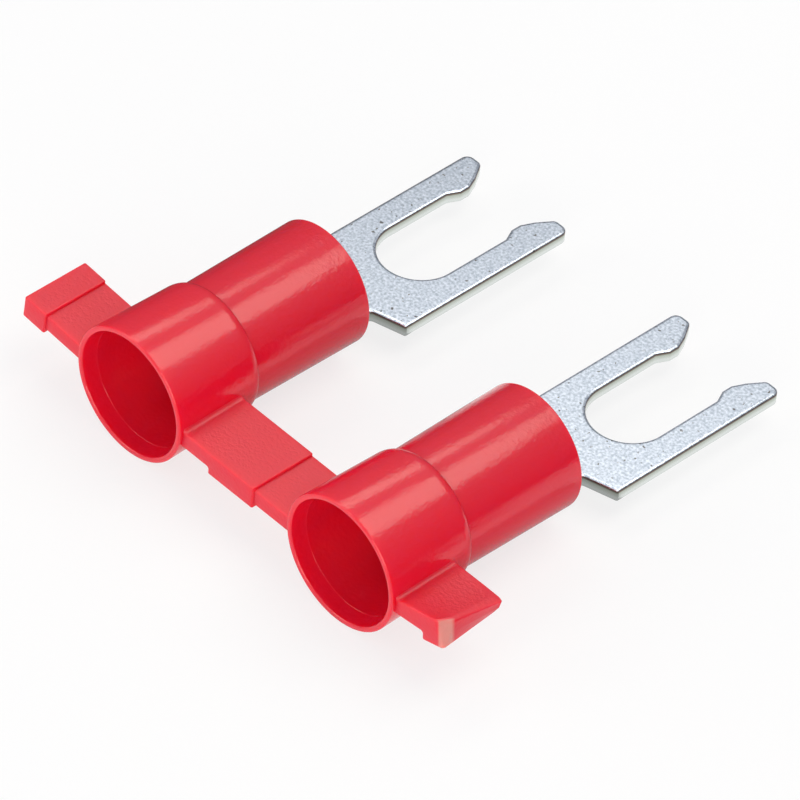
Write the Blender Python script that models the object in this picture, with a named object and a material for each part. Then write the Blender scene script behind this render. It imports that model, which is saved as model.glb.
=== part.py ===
"""Strip of two insulated locking fork terminals, moulded side by side for an automatic press.

Each terminal is one stamping of tinned copper: a fork with an open, locking slot, a neck and a crimp
barrel rolled from the same sheet. A soft vinyl sleeve with a wide wire funnel covers each barrel. The
sleeves and the webs between them are one moulding, so the whole strip's insulation is one body.

Lengths are in metres and +Z is up. The terminals lie along +Y with the tips forward, the strip runs
along +X, and the origin is under the middle of the strip, on the surface that the sleeves lie on.
"""
import math

import bmesh
import bpy
from mathutils import Vector

# Strip
PITCH = 0.01300
LINK_NAMES = ("left", "right")

# Sleeve, measured from its mouth, with the other radii set off from the rear one
SLEEVE_LENGTH = 0.01108
REAR_RADIUS = 0.00309
MOUTH_FLARE = 0.00011
REAR_LENGTH = 0.00475
SHOULDER_LENGTH = 0.00050
SHOULDER_DROP = 0.00024
FRONT_SWELL = 0.00007
MOUTH_WALL = 0.00027
REAR_WALL = 0.00029
GRIP_WALL = 0.00072
LIP_ROUND = 0.00006
LEAD_IN_LENGTH = 0.00075
LEAD_IN_STEP = 0.00004
FUNNEL_LENGTH = 0.00130
FUNNEL_LAND = 0.00020
FRONT_EDGE_ROUND = 0.00006

# Terminal stamping, whose barrel fills the sleeve's slim front up to its grip wall
STOCK = 0.00060
BARREL_LENGTH = 0.00558
BARREL_PROUD = 0.00010
SEAM_GAP = 0.00008
NECK_WIDTH = 0.00290
NECK_LENGTH = 0.00105
SHOULDER_REACH = 0.00187
SHOULDER_RAKE = math.radians(16)
TONGUE_WIDTH = 0.00635
FORK_LENGTH = 0.00960
SLOT_WIDTH = 0.00371
SLOT_DEPTH = 0.00772
LOCK_RISE = 0.00028
LOCK_RAMP_FROM_TIP = 0.00250
LOCK_CREST_FROM_TIP = 0.00190
LOCK_CREST_LENGTH = 0.00050
TIP_LAND = 0.00083
EDGE_ROLL = 0.00006

# Corner radii of the stamping's outline
BARREL_CORNER_RADIUS = 0.00025
NECK_CORNER_RADIUS = 0.00030
SHARP_CORNER_RADIUS = EDGE_ROLL + 0.00003
TIP_OUTER_RADIUS = 0.00038
TIP_INNER_RADIUS = 0.00030
CREST_FRONT_RADIUS = 0.00025
RAMP_FOOT_RADIUS = 0.00012

# Clearance between the barrel and the sleeve that grips it
FIT_GAP = 0.00010

# Webs between the sleeves, across the strip from a sleeve's axis; the cut ends curl up a little
BLOCK_START = 0.00475
TAB_REACH = 0.00550
REMNANT_WIDTH = 0.00135
END_REACH = 0.00555
END_FLARE = 0.00025
END_CURL = math.radians(4.8)
WEB_ROOT = 0.00050
WEB_FILLET = 0.00024

# Webs along the sleeve and through their thickness, from the mouth and the axis
WEB_FRONT = 0.00022
WEB_LENGTH = 0.00341
TAB_SETBACK = 0.00010
BLOCK_DEPTH = 0.00115
HINGE_DEPTH = 0.00080
TAB_DROP = 0.00015
TAB_THICKNESS = 0.00080
WEB_EDGE_ROUND = 0.00008
END_CORNER_ROUND = 0.00040

# Fineness of the round surfaces
ROUND_SEGMENTS = 64
CORNER_STEPS = 5
SLOT_STEPS = 15
LIP_STEPS = 2
FILLET_STEPS = 3
END_CORNER_STEPS = 3
DIE_ROLL_STEPS = 2
NECK_STEPS = 8
NECK_COLUMNS = 6
WALL_COLUMNS = 18

# Edges that turn more than this are rounded, on the webs and on the stamped sheet
WEB_EDGE_ANGLE = math.radians(35)
SHEET_EDGE_ANGLE = math.radians(60)

# How far a cutter passes through, and the least distance that counts as one
OVERSHOOT = 0.00100
SAME_PLACE = 1e-7

# Places and radii that follow from the sizes
MOUTH_RADIUS = REAR_RADIUS + MOUTH_FLARE
WAIST_RADIUS = REAR_RADIUS - SHOULDER_DROP
FRONT_RADIUS = WAIST_RADIUS + FRONT_SWELL
BORE_RADIUS = REAR_RADIUS - REAR_WALL
WEB_ROOT_X = REAR_RADIUS - WEB_ROOT
BARREL_FRONT_Y = SLEEVE_LENGTH + BARREL_PROUD
BARREL_REAR_Y = BARREL_FRONT_Y - BARREL_LENGTH
SEAT_Y = BARREL_REAR_Y - FIT_GAP
BARREL_RADIUS = FRONT_RADIUS - GRIP_WALL - FIT_GAP
BARREL_MID_RADIUS = BARREL_RADIUS - STOCK / 2
SHOULDER_Y = BARREL_FRONT_Y + SHOULDER_REACH
TIP_Y = SHOULDER_Y + FORK_LENGTH
CURL_REACH = BLOCK_DEPTH * math.sin(END_CURL)
STRIP_MIN_X = -PITCH / 2 - (TAB_REACH + REMNANT_WIDTH) * math.cos(END_CURL) - CURL_REACH
STRIP_MAX_X = PITCH / 2 + (END_REACH + END_FLARE) * math.cos(END_CURL) + CURL_REACH
CENTRE_X = (STRIP_MIN_X + STRIP_MAX_X) / 2
MOUTH_Y = -TIP_Y / 2


def axis_point(link):
    """The middle of a sleeve's mouth, in the strip's frame."""
    across = (link - (len(LINK_NAMES) - 1) / 2) * PITCH - CENTRE_X
    return Vector((across, MOUTH_Y, MOUTH_RADIUS))


def clear_scene():
    """Removes what the file held before."""
    for item in list(bpy.data.objects):
        bpy.data.objects.remove(item)


def surface(name, colour, roughness, metallic):
    """A plain material of one colour, given as linear red, green and blue."""
    material = bpy.data.materials.new(name)
    material.use_nodes = True
    shader = material.node_tree.nodes["Principled BSDF"]
    shader.inputs["Base Color"].default_value = (*colour, 1.0)
    shader.inputs["Roughness"].default_value = roughness
    shader.inputs["Metallic"].default_value = metallic
    return material


def new_object(name, bm, material=None):
    """Makes an object from finished mesh data whose faces already point out."""
    mesh = bpy.data.meshes.new(name)
    bm.to_mesh(mesh)
    bm.free()
    mesh.shade_smooth()
    mesh.set_sharp_from_angle(angle=math.radians(30))
    if material:
        mesh.materials.append(material)
    thing = bpy.data.objects.new(name, mesh)
    bpy.context.scene.collection.objects.link(thing)
    return thing


def as_tool(thing):
    """Marks a shape as one that only cuts or joins."""
    thing.hide_render = True
    thing.display_type = "WIRE"
    return thing


def combine(target, tool, operation):
    """Joins a tool to the target, or cuts it away."""
    step = target.modifiers.new(tool.name, "BOOLEAN")
    step.operation = operation
    step.solver = "EXACT"
    step.object = tool


def arc(centre, radius, start, stop, steps):
    """Points along an arc in a plane, both ends included."""
    angles = [start + (stop - start) * step / steps for step in range(steps + 1)]
    return [(centre[0] + radius * math.cos(a), centre[1] + radius * math.sin(a)) for a in angles]


def rounded_corner(before, corner, after, radius):
    """The points that replace a corner by an arc that touches both of its sides."""
    corner = Vector(corner)
    to_before = (Vector(before) - corner).normalized()
    to_after = (Vector(after) - corner).normalized()
    half = to_before.angle(to_after) / 2
    centre = corner + (to_before + to_after).normalized() * radius / math.sin(half)
    first = corner + to_before * radius / math.tan(half)
    last = corner + to_after * radius / math.tan(half)
    start = math.atan2(first.y - centre.y, first.x - centre.x)
    turn = math.atan2(last.y - centre.y, last.x - centre.x) - start
    turn = (turn + math.pi) % math.tau - math.pi
    return arc(centre, radius, start, start + turn, CORNER_STEPS)


def revolved(name, profile):
    """Turns a closed profile of (radius, distance along the axis) about the sleeve's axis.

    A point of radius 0 becomes one vertex, so the ends of a solid of revolution close.
    """
    bm = bmesh.new()
    rings = []
    for radius, along in profile:
        if radius == 0:
            rings.append([bm.verts.new((0, along, 0))])
            continue
        turns = [math.tau * k / ROUND_SEGMENTS for k in range(ROUND_SEGMENTS)]
        rings.append([bm.verts.new((radius * math.cos(t), along, radius * math.sin(t))) for t in turns])
    for ring, following in zip(rings, rings[1:]):
        for k in range(ROUND_SEGMENTS):
            nxt = (k + 1) % ROUND_SEGMENTS
            if len(ring) == 1:
                bm.faces.new((ring[0], following[k], following[nxt]))
            elif len(following) == 1:
                bm.faces.new((ring[k], following[0], ring[nxt]))
            else:
                bm.faces.new((ring[k], following[k], following[nxt], ring[nxt]))
    bmesh.ops.recalc_face_normals(bm, faces=bm.faces[:])
    return new_object(name, bm)


def sleeve_outside():
    """Profile of the sleeve as a solid: wide rear, rounded shoulder, slimmer and crisp front."""
    lip = arc((MOUTH_RADIUS - LIP_ROUND, LIP_ROUND), LIP_ROUND, -math.pi / 2, 0, LIP_STEPS)
    shoulder_y = REAR_LENGTH - SHOULDER_LENGTH
    turns = [math.pi / 2 * step / CORNER_STEPS for step in range(CORNER_STEPS + 1)]
    shoulder = [(WAIST_RADIUS + SHOULDER_DROP * math.cos(t), shoulder_y + SHOULDER_LENGTH * math.sin(t))
                for t in turns]
    front_centre = (FRONT_RADIUS - FRONT_EDGE_ROUND, SLEEVE_LENGTH - FRONT_EDGE_ROUND)
    front = arc(front_centre, FRONT_EDGE_ROUND, 0, math.pi / 2, LIP_STEPS)
    return [(0, 0)] + lip + shoulder + front + [(0, SLEEVE_LENGTH)]


def sleeve_inside():
    """Profile of the hollow: a thin-walled mouth, the wire funnel, and the seat that holds the barrel."""
    mouth = MOUTH_RADIUS - MOUTH_WALL
    wire_radius = BARREL_RADIUS - STOCK
    funnel_end = SEAT_Y - FUNNEL_LAND
    seat_radius = BARREL_RADIUS + FIT_GAP
    return [(0, -OVERSHOOT), (mouth + LIP_ROUND, -OVERSHOOT), (mouth + LIP_ROUND, 0), (mouth, LIP_ROUND),
            (BORE_RADIUS + LEAD_IN_STEP, LEAD_IN_LENGTH), (BORE_RADIUS, LEAD_IN_LENGTH),
            (BORE_RADIUS, funnel_end - FUNNEL_LENGTH), (wire_radius, funnel_end), (wire_radius, SEAT_Y),
            (seat_radius, SEAT_Y), (seat_radius, SLEEVE_LENGTH + OVERSHOOT), (0, SLEEVE_LENGTH + OVERSHOOT)]


def web_piece(name, profile, front, back, cut_from=None):
    """Extrudes a profile of (across, up) along the sleeve, with its edges softened.

    The upright edges that lie further out than cut_from are rounded more, as where the strip was cut.
    """
    bm = bmesh.new()
    near = bm.faces.new([bm.verts.new((x, front, z)) for x, z in profile])
    grown = bmesh.ops.extrude_face_region(bm, geom=[near])
    moved = [item for item in grown["geom"] if isinstance(item, bmesh.types.BMVert)]
    bmesh.ops.translate(bm, verts=moved, vec=(0, back - front, 0))
    bmesh.ops.recalc_face_normals(bm, faces=bm.faces[:])
    if cut_from is not None:
        corners = [edge for edge in bm.edges if all(vert.co.x > cut_from for vert in edge.verts)
                   and abs(edge.verts[0].co.y - edge.verts[1].co.y) < SAME_PLACE]
        bmesh.ops.bevel(bm, geom=corners, offset=END_CORNER_ROUND, segments=END_CORNER_STEPS, profile=0.5,
                        affect="EDGES")
    sharp = [edge for edge in bm.edges if edge.calc_face_angle(0) > WEB_EDGE_ANGLE]
    bmesh.ops.bevel(bm, geom=sharp, offset=WEB_EDGE_ROUND, segments=1, profile=0.5, affect="EDGES")
    return new_object(name, bm)


def hinge_and_block(end_top, end_bottom):
    """Profile of the hinge beside a sleeve and the thicker block beyond it, with a fillet at the sleeve."""
    fillet_centre = (REAR_RADIUS + WEB_FILLET, WEB_FILLET)
    fillet = arc(fillet_centre, WEB_FILLET, -math.pi / 2, -math.pi, FILLET_STEPS)
    return [(WEB_ROOT_X, -HINGE_DEPTH), (BLOCK_START, -HINGE_DEPTH), (BLOCK_START, -BLOCK_DEPTH),
            (end_bottom, -BLOCK_DEPTH), (end_top, 0)] + fillet + [(WEB_ROOT_X, WEB_FILLET)]


def level_bar(start, end, top, bottom):
    """Profile of a plain bar."""
    return [(start, bottom), (end, bottom), (end, top), (start, top)]


def strip_webs():
    """The webs: one full web between each pair of sleeves, and the cut one at each end of the strip."""
    web_back = WEB_FRONT + WEB_LENGTH
    tab_front = WEB_FRONT + TAB_SETBACK
    tab_profile = level_bar(-TAB_REACH - WEB_ROOT, -WEB_ROOT_X, -TAB_DROP, -TAB_DROP - TAB_THICKNESS)
    webs = []
    for link in range(len(LINK_NAMES)):
        if link == len(LINK_NAMES) - 1:
            profile = hinge_and_block(END_REACH, END_REACH + END_FLARE)
            block = web_piece("web_block", profile, WEB_FRONT, web_back, cut_from=BLOCK_START + END_FLARE)
            block.rotation_euler.y = -END_CURL
        else:
            profile = hinge_and_block(PITCH - TAB_REACH, PITCH - TAB_REACH)
            block = web_piece("web_block", profile, WEB_FRONT, web_back)
        tab = web_piece("web_tab", tab_profile, tab_front, web_back)
        tab.rotation_euler.y = 0 if link else END_CURL
        for web in (block, tab):
            web.location = axis_point(link)
            webs.append(web)
    remnant_profile = level_bar(-TAB_REACH - REMNANT_WIDTH, -TAB_REACH, 0, -BLOCK_DEPTH)
    remnant = web_piece("web_remnant", remnant_profile, WEB_FRONT, web_back)
    remnant.rotation_euler.y = END_CURL
    remnant.location = axis_point(0)
    return webs + [remnant]


def insulation_strip(material):
    """Both sleeves and every web as one moulding."""
    strip = revolved("insulation_strip", sleeve_outside())
    strip.location = axis_point(0)
    strip.data.materials.append(material)
    for link in range(1, len(LINK_NAMES)):
        sleeve = as_tool(revolved("sleeve_body", sleeve_outside()))
        sleeve.location = axis_point(link)
        combine(strip, sleeve, "UNION")
    for web in strip_webs():
        combine(strip, as_tool(web), "UNION")
    for link in range(len(LINK_NAMES)):
        hollow = as_tool(revolved("sleeve_hollow", sleeve_inside()))
        hollow.location = axis_point(link)
        combine(strip, hollow, "DIFFERENCE")
    return strip


def fork_outline():
    """The stamping's outline right of its middle, from the neck round the shoulder to the slot's root.

    It starts where the rolled neck has become flat, and it ends at the deepest point of the slot.
    """
    neck = NECK_WIDTH / 2
    side = TONGUE_WIDTH / 2
    slot = SLOT_WIDTH / 2
    crest = slot - LOCK_RISE
    crest_y = TIP_Y - LOCK_CREST_FROM_TIP
    corners = [
        ((neck, SHOULDER_Y - (side - neck) * math.tan(SHOULDER_RAKE)), NECK_CORNER_RADIUS),
        ((side, SHOULDER_Y), SHARP_CORNER_RADIUS),
        ((side, TIP_Y), TIP_OUTER_RADIUS),
        ((side - TIP_LAND, TIP_Y), TIP_INNER_RADIUS),
        ((crest, crest_y + LOCK_CREST_LENGTH), CREST_FRONT_RADIUS),
        ((crest, crest_y), SHARP_CORNER_RADIUS),
        ((slot, TIP_Y - LOCK_RAMP_FROM_TIP), RAMP_FOOT_RADIUS),
    ]
    start = (neck, BARREL_FRONT_Y + NECK_LENGTH)
    root_centre = (0, TIP_Y - SLOT_DEPTH + slot)
    places = [start] + [corner for corner, radius in corners] + [(slot, root_centre[1])]
    points = []
    for index, (corner, radius) in enumerate(corners):
        points += rounded_corner(places[index], corner, places[index + 2], radius)
    return points + arc(root_centre, slot, 0, -math.pi / 2, SLOT_STEPS)


def barrel_front(across):
    """Where the rolled barrel's front edge lies, with a fillet beside the neck."""
    past_neck = abs(across) - NECK_WIDTH / 2
    if past_neck >= BARREL_CORNER_RADIUS:
        return BARREL_FRONT_Y
    left = BARREL_CORNER_RADIUS - max(past_neck, 0)
    return BARREL_FRONT_Y + BARREL_CORNER_RADIUS - math.sqrt(BARREL_CORNER_RADIUS ** 2 - left ** 2)


def blank_columns():
    """Distances from the blank's middle line at which the sheet is divided, right half only."""
    edge = math.pi * BARREL_MID_RADIUS - SEAM_GAP / 2
    neck = NECK_WIDTH / 2
    fillet_end = neck + BARREL_CORNER_RADIUS
    inner = [neck * k / NECK_COLUMNS for k in range(NECK_COLUMNS + 1)]
    fillet = [neck + BARREL_CORNER_RADIUS * (1 - math.cos(math.pi / 2 * k / CORNER_STEPS))
              for k in range(1, CORNER_STEPS)]
    wall = [fillet_end + (edge - fillet_end) * k / WALL_COLUMNS for k in range(WALL_COLUMNS + 1)]
    return inner, fillet + wall


def curvature(along):
    """How tightly the sheet is rolled at a distance from the mouth: full in the barrel, none in the fork."""
    share = (along - BARREL_FRONT_Y - BARREL_CORNER_RADIUS) / (NECK_LENGTH - BARREL_CORNER_RADIUS)
    share = min(max(share, 0), 1)
    eased = share * share * (3 - 2 * share)
    return (1 - eased) / BARREL_MID_RADIUS


def roll(point):
    """Moves a point of the flat blank to its place on the rolled terminal."""
    across, along, through = point
    bend = curvature(along)
    if bend == 0:
        return Vector((across, along, through - BARREL_MID_RADIUS))
    angle = across * bend
    centre_z = 1 / bend - BARREL_MID_RADIUS
    radius = 1 / bend - through
    return Vector((radius * math.sin(angle), along, centre_z - radius * math.cos(angle)))


def fork_blank(bm):
    """Lays out the flat blank: a grid where it will be rolled, one face where it stays flat."""
    inner, outer = blank_columns()
    half = inner + outer
    columns = [-x for x in reversed(half[1:])] + half
    neck_end = BARREL_FRONT_Y + NECK_LENGTH
    rear = [bm.verts.new((x, BARREL_REAR_Y, 0)) for x in columns]
    front = [bm.verts.new((x, barrel_front(x), 0)) for x in columns]
    for k in range(len(columns) - 1):
        bm.faces.new((rear[k], rear[k + 1], front[k + 1], front[k]))
    row = front[len(outer):len(columns) - len(outer)]
    start = barrel_front(0)
    for step in range(1, NECK_STEPS + 1):
        along = start + (neck_end - start) * step / NECK_STEPS
        following = [bm.verts.new((vert.co.x, along, 0)) for vert in row]
        for k in range(len(row) - 1):
            bm.faces.new((row[k], row[k + 1], following[k + 1], following[k]))
        row = following
    right = fork_outline()
    left = [(-x, y) for x, y in reversed(right[:-1])]
    outline = [bm.verts.new((x, y, 0)) for x, y in right + left]
    bm.faces.new(row + outline)


def fork_terminal(name, link, material):
    """One stamping: cut from flat sheet, its upper edges rolled over by the die, then rolled up."""
    bm = bmesh.new()
    fork_blank(bm)
    bmesh.ops.recalc_face_normals(bm, faces=bm.faces[:])
    grown = bmesh.ops.extrude_face_region(bm, geom=bm.faces[:])
    raised = [item for item in grown["geom"] if isinstance(item, bmesh.types.BMVert)]
    bmesh.ops.translate(bm, verts=bm.verts[:], vec=(0, 0, -STOCK / 2))
    bmesh.ops.translate(bm, verts=raised, vec=(0, 0, STOCK))
    bmesh.ops.recalc_face_normals(bm, faces=bm.faces[:])
    upper = [edge for edge in bm.edges
             if all(v.co.z > 0 for v in edge.verts) and edge.calc_face_angle(0) > SHEET_EDGE_ANGLE]
    bmesh.ops.bevel(bm, geom=upper, offset=EDGE_ROLL, segments=DIE_ROLL_STEPS, profile=0.5, affect="EDGES")
    for vert in bm.verts:
        vert.co = roll(vert.co)
    terminal = new_object(name, bm, material)
    terminal.location = axis_point(link)
    return terminal


def build():
    """Makes the strip and its terminals."""
    clear_scene()
    vinyl = surface("red_vinyl", (0.72, 0.022, 0.040), 0.30, 0.0)
    tinned = surface("tinned_copper", (0.60, 0.64, 0.70), 0.35, 1.0)
    insulation_strip(vinyl)
    for link, side in enumerate(LINK_NAMES):
        fork_terminal("fork_terminal_" + side, link, tinned)


build()
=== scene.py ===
# %% [markdown]
# Locking fork terminals, in a strip of two. Each is a stamping of tinned copper: a fork with a locking
# slot, a neck and a barrel rolled up from the same sheet. A soft red PVC sleeve covers the barrel, and
# thin webs moulded with the sleeves join them into the strip that a crimping press feeds.
#
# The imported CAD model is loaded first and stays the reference. Every piece made here takes its place and
# main sizes from it, so nothing has to be fitted by eye.

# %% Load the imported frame
import math

import bmesh
import bpy
import numpy as np
from mathutils import Matrix, Vector


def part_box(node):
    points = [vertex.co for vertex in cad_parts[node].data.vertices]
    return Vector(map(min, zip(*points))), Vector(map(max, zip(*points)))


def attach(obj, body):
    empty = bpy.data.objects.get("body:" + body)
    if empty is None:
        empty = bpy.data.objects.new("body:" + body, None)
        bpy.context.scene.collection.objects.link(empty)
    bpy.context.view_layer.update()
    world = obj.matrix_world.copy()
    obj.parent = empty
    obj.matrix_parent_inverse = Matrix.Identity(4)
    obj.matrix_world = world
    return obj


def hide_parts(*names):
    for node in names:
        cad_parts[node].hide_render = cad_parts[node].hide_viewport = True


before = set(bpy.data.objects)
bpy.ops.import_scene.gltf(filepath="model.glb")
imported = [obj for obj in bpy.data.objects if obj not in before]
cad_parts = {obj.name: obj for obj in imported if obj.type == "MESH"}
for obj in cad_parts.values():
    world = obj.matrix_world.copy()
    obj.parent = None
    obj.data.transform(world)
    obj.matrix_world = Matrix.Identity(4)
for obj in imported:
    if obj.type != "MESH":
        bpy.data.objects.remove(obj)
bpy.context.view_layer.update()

MM = 0.001


# %% [markdown]
# The parts are a few millimetres long, so the shapes are worked out in millimetres, from the middle of a
# sleeve's mouth: x across the terminal, y along it towards the tips, z up. They are turned to metres only
# when they go into a mesh. Most sizes can be read from the boxes of the CAD pieces.

# %% Sizes read from the frame
SIDES = ("left", "right")


def box_mm(node):
    """The lowest and highest corner of a CAD node, in millimetres."""
    return [np.array(corner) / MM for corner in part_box(node)]


strip_low, strip_high = box_mm("insulation_strip")
forks = {side: box_mm("fork_terminal_" + side) for side in SIDES}
fork_low, fork_high = forks["left"]
MOUTH_RADIUS = (strip_high[2] - strip_low[2]) / 2
AXIS_Z = (strip_high[2] + strip_low[2]) / 2
MOUTH_Y = strip_low[1]
SLEEVE_LENGTH = strip_high[1] - strip_low[1]
TIP_Y = fork_high[1] - MOUTH_Y
BARREL_REAR_Y = fork_low[1] - MOUTH_Y
TONGUE_WIDTH = fork_high[0] - fork_low[0]
BARREL_RADIUS = fork_high[2] - AXIS_Z
AXES = {side: np.array([(low[0] + high[0]) / 2, MOUTH_Y, AXIS_Z]) for side, (low, high) in forks.items()}
PITCH = AXES["right"][0] - AXES["left"][0]
print("pitch", round(PITCH, 2), "sleeve", round(SLEEVE_LENGTH, 2), "tongue", round(TONGUE_WIDTH, 2))

# %% [markdown]
# Three small helpers carry all the shapes. A grid of points becomes quads, an arc rounds a profile, and
# a piece is written to a mesh, where points that coincide are merged and the faces are turned outwards.
# The signed volume that is printed tells whether a skin is closed and which way round it is.

# %% Helpers for shapes
MERGE_DISTANCE = 1e-7
SHARP_ANGLE = 32


def grid_faces(rows, columns, wrap_rows=False, wrap_columns=False):
    """Quads of a grid: point (i, j) with (i+1, j), (i+1, j+1) and (i, j+1), wrapping round where asked."""
    first, second = np.meshgrid(np.arange(rows - (not wrap_rows)), np.arange(columns - (not wrap_columns)),
                                indexing="ij")
    after, beside = (first + 1) % rows, (second + 1) % columns
    corners = [first * columns + second, after * columns + second, after * columns + beside,
               first * columns + beside]
    return np.stack(corners, -1).reshape(-1, 4)


def arc(centre, radii, start, stop, steps):
    """Points of an elliptical arc: the centre plus the radii times (cos, sin) of angles in degrees."""
    angle = np.radians(np.linspace(start, stop, steps + 1))
    return np.array(centre) + np.array(radii) * np.stack([np.cos(angle), np.sin(angle)], 1)


def make_piece(name, parts, offset, attribute=None):
    """Joins parts of (points, blocks of faces) at the offset, merges what coincides and makes an object."""
    counts = np.cumsum([0] + [len(points) for points, blocks in parts])
    points = np.concatenate([points for points, blocks in parts]) + offset
    faces = []
    for start, (_, blocks) in zip(counts, parts):
        for block in blocks:
            faces += (block + start).tolist()
    mesh = bpy.data.meshes.new(name)
    mesh.from_pydata(points * MM, [], faces)
    if attribute:
        label, values = attribute
        mesh.attributes.new(label, "FLOAT", "POINT").data.foreach_set("value", values.astype(np.float32))
    skin = bmesh.new()
    skin.from_mesh(mesh)
    bmesh.ops.remove_doubles(skin, verts=skin.verts[:], dist=MERGE_DISTANCE)
    bmesh.ops.recalc_face_normals(skin, faces=skin.faces[:])
    print(name, len(skin.faces), "faces,", round(skin.calc_volume(signed=True) / MM ** 3, 2), "mm3")
    skin.to_mesh(mesh)
    skin.free()
    mesh.shade_smooth()
    mesh.set_sharp_from_angle(angle=math.radians(SHARP_ANGLE))
    thing = bpy.data.objects.new(name, mesh)
    bpy.context.scene.collection.objects.link(thing)
    return thing


# %% [markdown]
# The sleeve is injection moulded in soft PVC. Outside it has a wide rear with a slightly flared mouth, a
# rounded shoulder and a slimmer front. Inside, a thin wall leads to a funnel that guides the wire's
# strands into the metal barrel. All of it is round, so one closed profile turned about the axis makes
# both the outer and the inner skin. A lathe of a Curve or a Screw modifier would do the same; computing the
# grid keeps the lips and the shoulder as exact arcs.

# %% Sleeve profile
MOUTH_FLARE = 0.11
MOUTH_WALL = 0.27
LIP_ROUND = 0.09
REAR_LENGTH = 4.75
REAR_WALL = 0.29
SHOULDER_LENGTH = 0.50
SHOULDER_DROP = 0.24
FRONT_TAPER = 0.07
EDGE_ROUND = 0.08
LEAD_IN_LENGTH = 0.75
LEAD_IN_STEP = 0.006
FUNNEL_LENGTH = 1.30
FUNNEL_ROUND = 0.20
STOCK = 0.60
FIT_GAP = 0.10
TURNS = 240
REAR_RADIUS = MOUTH_RADIUS - MOUTH_FLARE
WAIST_RADIUS = REAR_RADIUS - SHOULDER_DROP
FRONT_RADIUS = WAIST_RADIUS + FRONT_TAPER
BORE_RADIUS = REAR_RADIUS - REAR_WALL
SEAT_Y = BARREL_REAR_Y - FIT_GAP


def sleeve_profile():
    """Closed profile of (radius, distance from the mouth): out along the outside, back along the inside."""
    shoulder_y = REAR_LENGTH - SHOULDER_LENGTH
    wire_radius = BARREL_RADIUS - STOCK
    seat_radius = BARREL_RADIUS + FIT_GAP
    funnel_end = SEAT_Y - FUNNEL_ROUND
    return np.concatenate([
        arc((MOUTH_RADIUS - LIP_ROUND, LIP_ROUND), LIP_ROUND, -90, 0, steps=6),
        arc((WAIST_RADIUS, shoulder_y), (REAR_RADIUS - WAIST_RADIUS, SHOULDER_LENGTH), 0, 90, steps=12),
        arc((FRONT_RADIUS - EDGE_ROUND, SLEEVE_LENGTH - EDGE_ROUND), EDGE_ROUND, 0, 90, steps=5),
        [(seat_radius, SLEEVE_LENGTH), (seat_radius, SEAT_Y), (wire_radius, SEAT_Y)],
        arc((wire_radius + FUNNEL_ROUND, funnel_end), FUNNEL_ROUND, 180, 225, steps=5),
        [(BORE_RADIUS, funnel_end - FUNNEL_LENGTH), (BORE_RADIUS, LEAD_IN_LENGTH)],
        [(BORE_RADIUS + LEAD_IN_STEP, LEAD_IN_LENGTH - LEAD_IN_STEP)],
        arc((MOUTH_RADIUS - MOUTH_WALL + LIP_ROUND, LIP_ROUND), LIP_ROUND, 180, 270, steps=5),
    ])


def turned(profile):
    """Turns a closed profile: x, z = radius times (cos, sin) of the turn, y = distance along the axis."""
    turn = np.linspace(0, math.tau, TURNS, endpoint=False)
    radius, along = profile[:, 0][:, None], profile[:, 1][:, None]
    points = np.stack([radius * np.cos(turn), along + 0 * turn, radius * np.sin(turn)], -1)
    return points.reshape(-1, 3), [grid_faces(len(profile), TURNS, True, True)]


print("sleeve radii at mouth, rear, front and bore:",
      [round(radius, 2) for radius in (MOUTH_RADIUS, REAR_RADIUS, FRONT_RADIUS, BORE_RADIUS)])

# %% [markdown]
# The webs are flat bars, moulded in one with the sleeves: a hinge with a fillet beside each sleeve, a
# thicker block, and a thinner tab on to the next sleeve. Each bar is a profile seen from the mouth,
# carried along the sleeve. The profile is a line through corners, each rounded by an arc, and it can be
# drawn in by an inset. Near both ends of a bar the inset follows a quarter circle, which rounds all the
# edges at once. A Bevel modifier on a box would need its edges picked out by hand where fillet and step
# meet.

# %% Outlines with rounded corners
POINT_SPACING = 0.06
LEAST_RADIUS = 0.01
ARC_STEP = math.radians(9)
STRAIGHT = 1e-6


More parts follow.
